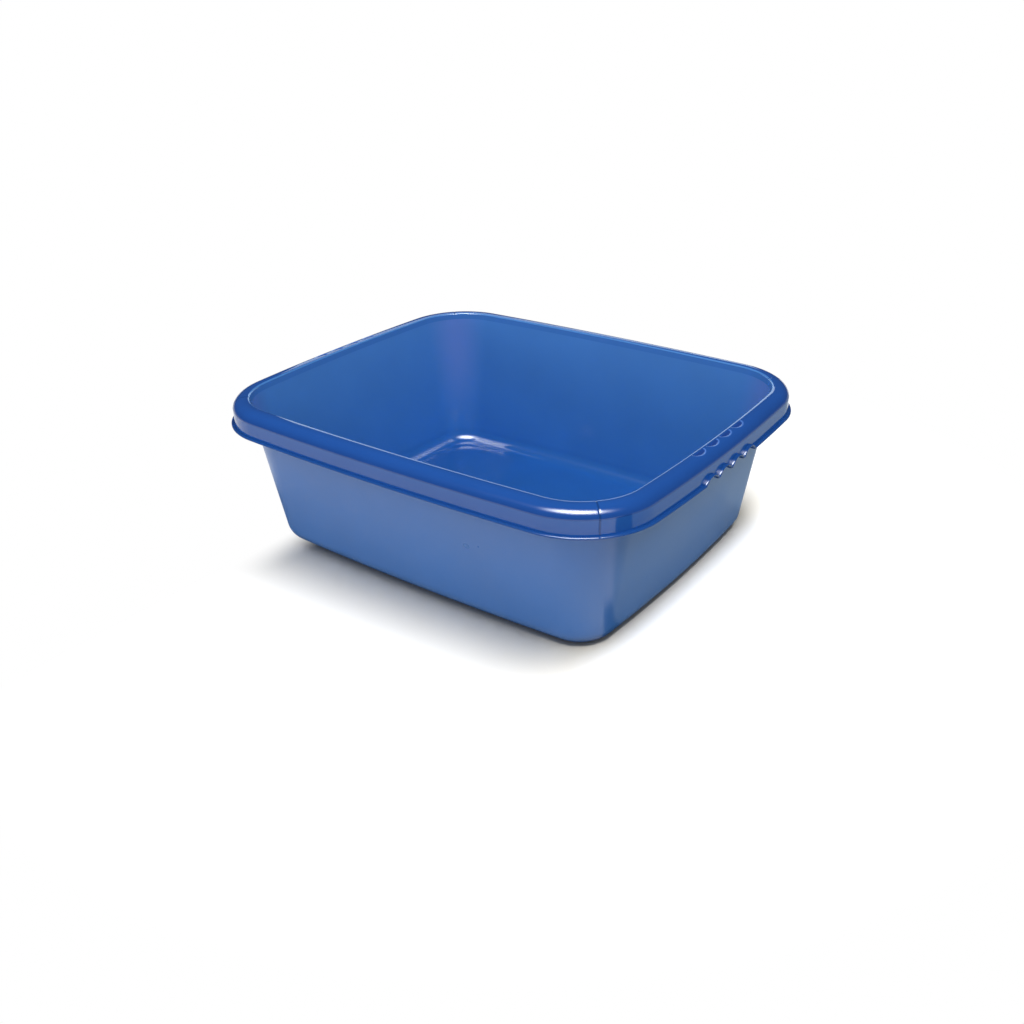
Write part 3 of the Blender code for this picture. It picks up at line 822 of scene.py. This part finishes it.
def arch_line():
    """Pairs of points on the bead's upper and lower edge, as distance along the side and height."""
    half = ARCH_PITCH / 2.0
    pairs = []
    for middle in arch_middles():
        foot = middle - half
        pairs.append(((foot, LIP_HEIGHT + VALLEY), (foot, LIP_HEIGHT)))
        for step in range(ARCH_STEPS + 1):
            turned = math.pi * (1.0 - step / ARCH_STEPS)
            across, rise = math.cos(turned), math.sin(turned) ** ARCH_SLENDER
            upper = (middle + half * across, LIP_HEIGHT + VALLEY + (CROWN - VALLEY) * rise)
            lower = (middle + OPENING_HALF * across, LIP_HEIGHT + OPENING_RISE * rise)
            pairs.append((upper, lower))
    pairs.append(((GRIP_HALF_LENGTH, LIP_HEIGHT + VALLEY), (GRIP_HALF_LENGTH, LIP_HEIGHT)))
    return pairs


def grip_section(upper, lower):
    """The points of one cross-section, as inset, distance along the side and height."""
    inner = SKIRT_INSET + WALL_THICKNESS
    points = [(inner, upper[0], SEAM_HEIGHT), (SKIRT_INSET, upper[0], SEAM_HEIGHT),
              (SKIRT_INSET, upper[0], upper[1] + LIP_BLEND)]
    for step in range(BEAD_STEPS + 1):
        turned = math.pi * step / BEAD_STEPS
        share = (1.0 - math.cos(turned)) / 2.0
        along = upper[0] + share * (lower[0] - upper[0])
        height = upper[1] + share * (lower[1] - upper[1])
        if step == 0:
            points.append((SKIRT_INSET, along, height))
        points.append((BEAD_ROUND * (1.0 - math.sin(turned)), along, height))
    points.append((inner, *lower))
    points.append(points[0])
    return points


# %% Draping the grips
def bent(inset, along, height):
    """Position at the right-hand side, with the distance along it measured on the lip."""
    angle = along * grip_angle / GRIP_HALF_LENGTH
    arm = SHORT_RADIUS - inset
    return RIGHT_CENTRE + Vector((arm * math.cos(angle), arm * math.sin(angle), height))


sections = [grip_section(*pair) for pair in arch_line()]
columns, rows = len(sections) - 1, len(sections[0]) - 1
print("grip sheet", columns, "by", rows)


def grip(name, axes):
    """One grip, drawn at the right-hand side and mirrored in axes."""
    shape = bmesh.new()
    bmesh.ops.create_grid(shape, x_segments=columns, y_segments=rows, size=1.0)
    shade = shape.verts.layers.float.new("lip_shade")
    for vert in shape.verts:
        column = round((vert.co.x + 1.0) / 2.0 * columns)
        row = round((vert.co.y + 1.0) / 2.0 * rows)
        vert.co = bent(*sections[column][row])
        vert[shade] = 1.0 if FIRST_BEAD_ROW <= row < rows else 0.0
    weld(shape)
    cap(shape)
    for axis in axes:
        flipped(shape, axis)
    finished(shape, name, skirt_gloss, name)


grip("right_grip", "")
grip("left_grip", "X")

# %% [markdown]
# ## Corner webs
#
# The webs hide in the channel between wall and skirt and are seen only from below. The packed
# model's own plates have their shape already, so they only get the skirt's polished finish.

# %% Finish of the webs
for corner in ("back_left", "back_right", "front_left", "front_right"):
    node = frame["nodes"]["corner_web_" + corner]
    node.data.materials.clear()
    node.data.materials.append(skirt_gloss)
    print(node.name, "finished in", skirt_gloss.name)

# %% [markdown]
# ## Camera
#
# The camera stands at the front right, a little under 90 cm from the basin, and looks down on it by
# a bit less than 28 degrees. Its place, its lens and its slight roll were fitted to the outlines of
# the lip, the rim and the base in the photograph.

# %% Camera
CAMERA_AZIMUTH = math.radians(36.7796)
CAMERA_PITCH = math.radians(27.6606)
CAMERA_ROLL = math.radians(1.34)
CAMERA_DISTANCE = 0.8863
CAMERA_RIGHT = -0.0012
CAMERA_UP = 0.01224
FOCAL_PIXELS = 1067.18
IMAGE_PIXELS = 1024.0
SENSOR_WIDTH = 36.0

back = Vector((
    math.sin(CAMERA_AZIMUTH) * math.cos(CAMERA_PITCH),
    -math.cos(CAMERA_AZIMUTH) * math.cos(CAMERA_PITCH),
    math.sin(CAMERA_PITCH),
))
right = Vector((math.cos(CAMERA_AZIMUTH), math.sin(CAMERA_AZIMUTH), 0.0))
up = back.cross(right)
position = back * CAMERA_DISTANCE + right * CAMERA_RIGHT + up * CAMERA_UP
rolled_right = right * math.cos(CAMERA_ROLL) - up * math.sin(CAMERA_ROLL)
rolled_up = right * math.sin(CAMERA_ROLL) + up * math.cos(CAMERA_ROLL)
orientation = Matrix((rolled_right, rolled_up, back)).transposed()
camera_data = bpy.data.cameras.new("camera")
camera_data.sensor_width = SENSOR_WIDTH
camera_data.lens = SENSOR_WIDTH * FOCAL_PIXELS / IMAGE_PIXELS
camera = bpy.data.objects.new("camera", camera_data)
camera.matrix_world = Matrix.Translation(position) @ orientation.to_4x4()
bpy.context.scene.collection.objects.link(camera)
bpy.context.scene.camera = camera
print("camera at", tuple(round(value, 3) for value in position))

# %% [markdown]
# ## Studio floor
#
# The basin stands on white paper. The camera sees the paper with its shadow, and as plain white
# beyond the shadow. Mirrored in the plastic the paper is nearly white too, which gives the veil on
# the walls. As a source of matt light it is duller, because a floor lit to white would wash the
# blue out. The paper is tinted slightly warm close to the base, further out in front than at the
# ends, which takes off the blue that the walls throw on it.

# %% White paper
PAPER_HALF_SIZE = 6.0
PAPER_SEEN = 0.98
PAPER_DULL = 0.39
PAPER_MIRRORED = 0.97
WHITE_LEFT = (-0.110, -0.150)
WHITE_FAR = (0.26, 0.45)
BASE_HALF = (0.1425, 0.1110, 0.0)
TINT_REACH = 0.085
TINT_SHARES = (4.0, 1.0, 1.0)
TINT_NEAR = (1.0, 0.94, 0.80, 1.0)
TINT_FAR = (1.0, 1.0, 0.98, 1.0)

shape = bmesh.new()
bmesh.ops.create_grid(shape, x_segments=1, y_segments=1, size=PAPER_HALF_SIZE)
studio_floor = as_object(shape, "studio_floor")

paper, tree, shader = new_material("white_paper", Roughness=1.0, Specular_IOR_Level=0.0)
path = add(tree, "LightPath")
spot = add(tree, "TexCoord").outputs["Object"]
mirrored_ray = add(tree, "Math", {"operation": "MAXIMUM"}, _0=path.outputs["Is Glossy Ray"],
                   _1=path.outputs["Is Transmission Ray"])
unseen = add(tree, "MapRange", {"To Min": PAPER_DULL, "To Max": PAPER_MIRRORED},
             Value=mirrored_ray.outputs[0])
shown = add(tree, "Mix", {"data_type": "FLOAT", 3: PAPER_SEEN}, _0=path.outputs["Is Camera Ray"],
            _2=unseen.outputs[0])
folded = add(tree, "VectorMath", {"operation": "ABSOLUTE"}, _0=spot)
past = add(tree, "VectorMath", {"operation": "SUBTRACT", 1: BASE_HALF}, _0=folded.outputs[0])
outside = add(tree, "VectorMath", {"operation": "MAXIMUM", 1: (0.0, 0.0, 0.0)}, _0=past.outputs[0])
shared = add(tree, "VectorMath", {"operation": "MULTIPLY", 1: TINT_SHARES}, _0=outside.outputs[0])
gap = add(tree, "VectorMath", {"operation": "LENGTH"}, _0=shared.outputs[0])
near = add(tree, "MapRange", {"From Min": TINT_REACH, "From Max": 0.0}, Value=gap.outputs["Value"])
tinted = add(tree, "Math", {"operation": "MULTIPLY"}, _0=near.outputs[0],
             _1=path.outputs["Is Camera Ray"])
tint = add(tree, "Mix", {"data_type": "RGBA", 6: TINT_FAR, 7: TINT_NEAR}, _0=tinted.outputs[0])
colour = add(tree, "VectorMath", {"operation": "SCALE"}, _0=tint.outputs[2], Scale=shown.outputs[0])
tree.links.new(colour.outputs[0], shader.inputs["Base Color"])

# %% White beyond the shadow
split = add(tree, "SeparateXYZ", Vector=spot)
left = add(tree, "MapRange", {"From Min": WHITE_LEFT[0], "From Max": WHITE_LEFT[1],
                              "interpolation_type": "SMOOTHSTEP"}, Value=split.outputs["X"])
distance = add(tree, "VectorMath", {"operation": "LENGTH"}, _0=spot)
far = add(tree, "MapRange", {"From Min": WHITE_FAR[0], "From Max": WHITE_FAR[1],
                             "interpolation_type": "SMOOTHSTEP"}, Value=distance.outputs["Value"])
either = add(tree, "Math", {"operation": "MAXIMUM"}, _0=left.outputs[0], _1=far.outputs[0])
plain = add(tree, "Math", {"operation": "MULTIPLY"}, _0=either.outputs[0],
            _1=path.outputs["Is Camera Ray"])
white = add(tree, "Emission", {"Strength": 1.0})
blend = add(tree, "MixShader", _0=plain.outputs[0], _1=shader.outputs[0], _2=white.outputs[0])
tree.links.new(blend.outputs[0], tree.nodes["Material Output"].inputs["Surface"])
studio_floor.data.materials.append(paper)
print("paper", len(tree.nodes), "nodes")


# %% [markdown]
# ## Studio surroundings
#
# The background is white to the camera. Gloss sees a dark studio instead, which keeps the rim a
# deep blue: in it hangs one soft lamp, high behind the camera, whose bright image lies on the near
# corner and in the far corner of the floor.

# %% What the gloss sees
KEY_AZIMUTH = -154.0
KEY_ELEVATION = 66.0
KEY_WIDTH = 0.40
KEY_HEIGHT = 0.24
KEY_FALL = 1.5
KEY_PEAK = 34.0
DARK_LEVEL = 0.045
DIFFUSE_LEVEL = 0.18


def direction(azimuth, elevation):
    """Unit vector; azimuth in degrees from +Y towards -X, elevation in degrees."""
    a, e = math.radians(azimuth), math.radians(elevation)
    return Vector((-math.sin(a) * math.cos(e), math.cos(a) * math.cos(e), math.sin(e)))


world = bpy.data.worlds.new("studio")
world.use_nodes = True
world.cycles.sampling_method = "NONE"
bpy.context.scene.world = world
tree = world.node_tree
view = add(tree, "TexCoord").outputs["Generated"]


def squared_part(vector, width):
    """The view direction's part along a vector, in widths, squared."""
    part = add(tree, "VectorMath", {"operation": "DOT_PRODUCT", 1: vector / width}, _0=view)
    return add(tree, "Math", {"operation": "POWER", 1: 2.0}, _0=part.outputs["Value"]).outputs[0]


key_to = direction(KEY_AZIMUTH, KEY_ELEVATION)
key_right = key_to.cross(Vector((0.0, 0.0, 1.0))).normalized()
key_up = key_right.cross(key_to)
spread = add(tree, "Math", {"operation": "ADD"}, _0=squared_part(key_right, KEY_WIDTH),
             _1=squared_part(key_up, KEY_HEIGHT))
steep = add(tree, "Math", {"operation": "POWER", 1: KEY_FALL}, _0=spread.outputs[0])
fall = add(tree, "Math", {"operation": "MULTIPLY", 1: -1.0}, _0=steep.outputs[0])
bell = add(tree, "Math", {"operation": "EXPONENT"}, _0=fall.outputs[0])
ahead = add(tree, "VectorMath", {"operation": "DOT_PRODUCT", 1: key_to}, _0=view)
facing = add(tree, "Math", {"operation": "GREATER_THAN", 1: 0.0}, _0=ahead.outputs["Value"])
key = add(tree, "Math", {"operation": "MULTIPLY"}, _0=bell.outputs[0], _1=facing.outputs[0])
gloss_sees = add(tree, "Math", {"operation": "MULTIPLY_ADD", 1: KEY_PEAK, 2: DARK_LEVEL},
                 _0=key.outputs[0])

# %% What the camera and the matt light see
path = add(tree, "LightPath")
plain = add(tree, "MapRange", {"To Min": DIFFUSE_LEVEL, "To Max": 1.0},
            Value=path.outputs["Is Camera Ray"])
mirrored_ray = add(tree, "Math", {"operation": "MAXIMUM"}, _0=path.outputs["Is Glossy Ray"],
                   _1=path.outputs["Is Transmission Ray"])
strength = add(tree, "Mix", {"data_type": "FLOAT"}, _0=mirrored_ray.outputs[0], _2=plain.outputs[0],
               _3=gloss_sees.outputs[0])
background = tree.nodes["Background"]
background.inputs["Color"].default_value = (1.0, 1.0, 1.0, 1.0)
tree.links.new(strength.outputs[0], background.inputs["Strength"])
print("world", len(tree.nodes), "nodes")

# %% [markdown]
# ## Lamps
#
# Soft lamps give the plain light. One lights the paper alone and so draws the basin's shadow, in
# front and a little to the right. Five light the basin alone: one high at the right, which fills
# the left end, a broad one from the front, a weak one high at the left, and two faint low ones for
# the walls under the rim. Each level is the brightness that the lamp gives a white card facing it.
# No face meets all of them squarely, so they come to about 1 on it, and the colours come out as
# they are written.

# %% Lamps
SHADOW_STAND = Vector((0.54, -0.11, 1.50))
SHADOW_SIZE = (1.10, 0.40)
SHADOW_LEVEL = 1.45
SHADOW_TWIST = 20.0
LAMP_REACH = 2.0
BASIN_LAMPS = (
    ("right_lamp", (-95.0, 60.0), (1.0, 1.0), 0.80),
    ("front_lamp", (-173.0, 40.0), (2.0, 1.5), 0.60),
    ("left_lamp", (95.0, 50.0), (1.0, 1.0), 0.28),
    ("low_lamp", (148.0, 5.0), (2.0, 0.8), 0.56),
    ("side_lamp", (-95.0, 5.0), (2.0, 0.8), 0.16),
)


def lamp(name, stand, size, level, receivers, twist=0.0):
    """A soft rectangular lamp, aimed at the basin, which lights only the receivers."""
    data = bpy.data.lights.new(name, "AREA")
    data.shape = "RECTANGLE"
    data.size, data.size_y = size
    data.energy = level * (math.pi * stand.length) ** 2
    item = bpy.data.objects.new(name, data)
    item.location = stand
    aim = stand.to_track_quat("Z", "Y").to_matrix()
    item.rotation_euler = (aim @ Matrix.Rotation(math.radians(twist), 3, "Z")).to_euler()
    item.visible_camera = False
    item.visible_glossy = False
    item.light_linking.receiver_collection = receivers
    bpy.context.scene.collection.objects.link(item)
    print(name, "level", level)


studio = bpy.data.collections.new("studio")
basin = bpy.data.collections.new("basin")
for item in bpy.context.scene.objects:
    if item.type == "MESH":
        (studio if item is studio_floor else basin).objects.link(item)

lamp("floor_lamp", SHADOW_STAND, SHADOW_SIZE, SHADOW_LEVEL, studio, SHADOW_TWIST)
for name, angles, size, level in BASIN_LAMPS:
    lamp(name, direction(*angles) * LAMP_REACH, size, level, basin)

# %% [markdown]
# ## Cards for the gloss
#
# A photographer places cards round a glossy thing to draw its shape. Only the gloss sees these
# four. A white one stands close behind the back left corner and edges the far rim, and the inner
# side of the near one, with a pale line. A grey one lies on the paper at the right, so that this
# side shows less veil than the front, and a black one beside it draws the dark patch on the skirt
# just right of the near corner. A second black one, along the foot of the right side, is a painted
# shadow: it lies where the basin's shadow falls on the paper and makes that shadow darker as the
# bottom of the wall mirrors it, which keeps the bottom of that wall dark.

# %% Cards
LIFT = 0.0004
GREY = "#A8B4B0"
BLACK = "#262626"
COOL_WHITE = "#CCDFEC"
GREY_AREA = ((0.150, -0.078), (1.200, 1.500))
BLACK_AREA = ((0.340, -0.172), (1.200, -0.078))
FOOT_SHADOW_AREA = ((0.1430, -0.100), (0.1880, 0.130))
WHITE_AREA = ((-0.180, 0.145), (0.300, 0.225))
WHITE_GLOW = 1.5
WHITE_AZIMUTH = 45.0
WHITE_DISTANCE = 0.24


def card(name, area, colour, glow=0.0, azimuth=None, distance=0.0):
    """A card seen by the gloss alone, flat on the paper, or upright and facing an azimuth."""
    low_corner, high_corner = area
    shape = bmesh.new()
    bmesh.ops.create_grid(shape, x_segments=1, y_segments=1, size=0.5)
    size = [high_corner[axis] - low_corner[axis] for axis in range(2)]
    middle = [(high_corner[axis] + low_corner[axis]) / 2.0 for axis in range(2)]
    bmesh.ops.scale(shape, vec=(*size, 1.0), verts=shape.verts)
    bmesh.ops.translate(shape, vec=(*middle, LIFT), verts=shape.verts)
    if azimuth is not None:
        bmesh.ops.rotate(shape, matrix=Matrix.Rotation(RIGHT_ANGLE, 3, "X"), verts=shape.verts)
        bmesh.ops.translate(shape, vec=(0.0, distance, 0.0), verts=shape.verts)
        aimed = Matrix.Rotation(math.radians(azimuth), 3, "Z")
        bmesh.ops.rotate(shape, matrix=aimed, verts=shape.verts)
    item = as_object(shape, name)
    item.visible_camera = False
    item.visible_diffuse = False
    item.visible_shadow = False
    studio.objects.link(item)
    look, tree, shader = new_material(name, Roughness=1.0, Specular_IOR_Level=0.0)
    shader.inputs["Base Color"].default_value = hex_to_linear(colour)
    shader.inputs["Emission Color"].default_value = hex_to_linear(colour)
    shader.inputs["Emission Strength"].default_value = glow
    item.data.materials.append(look)


card("grey_card", GREY_AREA, GREY)
card("black_card", BLACK_AREA, BLACK)
# The strip at the foot of the right side is a painted shadow, seen in the gloss of that wall.
card("foot_shadow_card", FOOT_SHADOW_AREA, BLACK)
card("white_card", WHITE_AREA, COOL_WHITE, WHITE_GLOW, WHITE_AZIMUTH, WHITE_DISTANCE)
print("cards placed round the basin")

# %% [markdown]
# ## Colours as written
#
# The plain view transform shows each colour as it was lit. The last cell sets it.

# %% View transform
bpy.context.scene.view_settings.view_transform = "Standard"
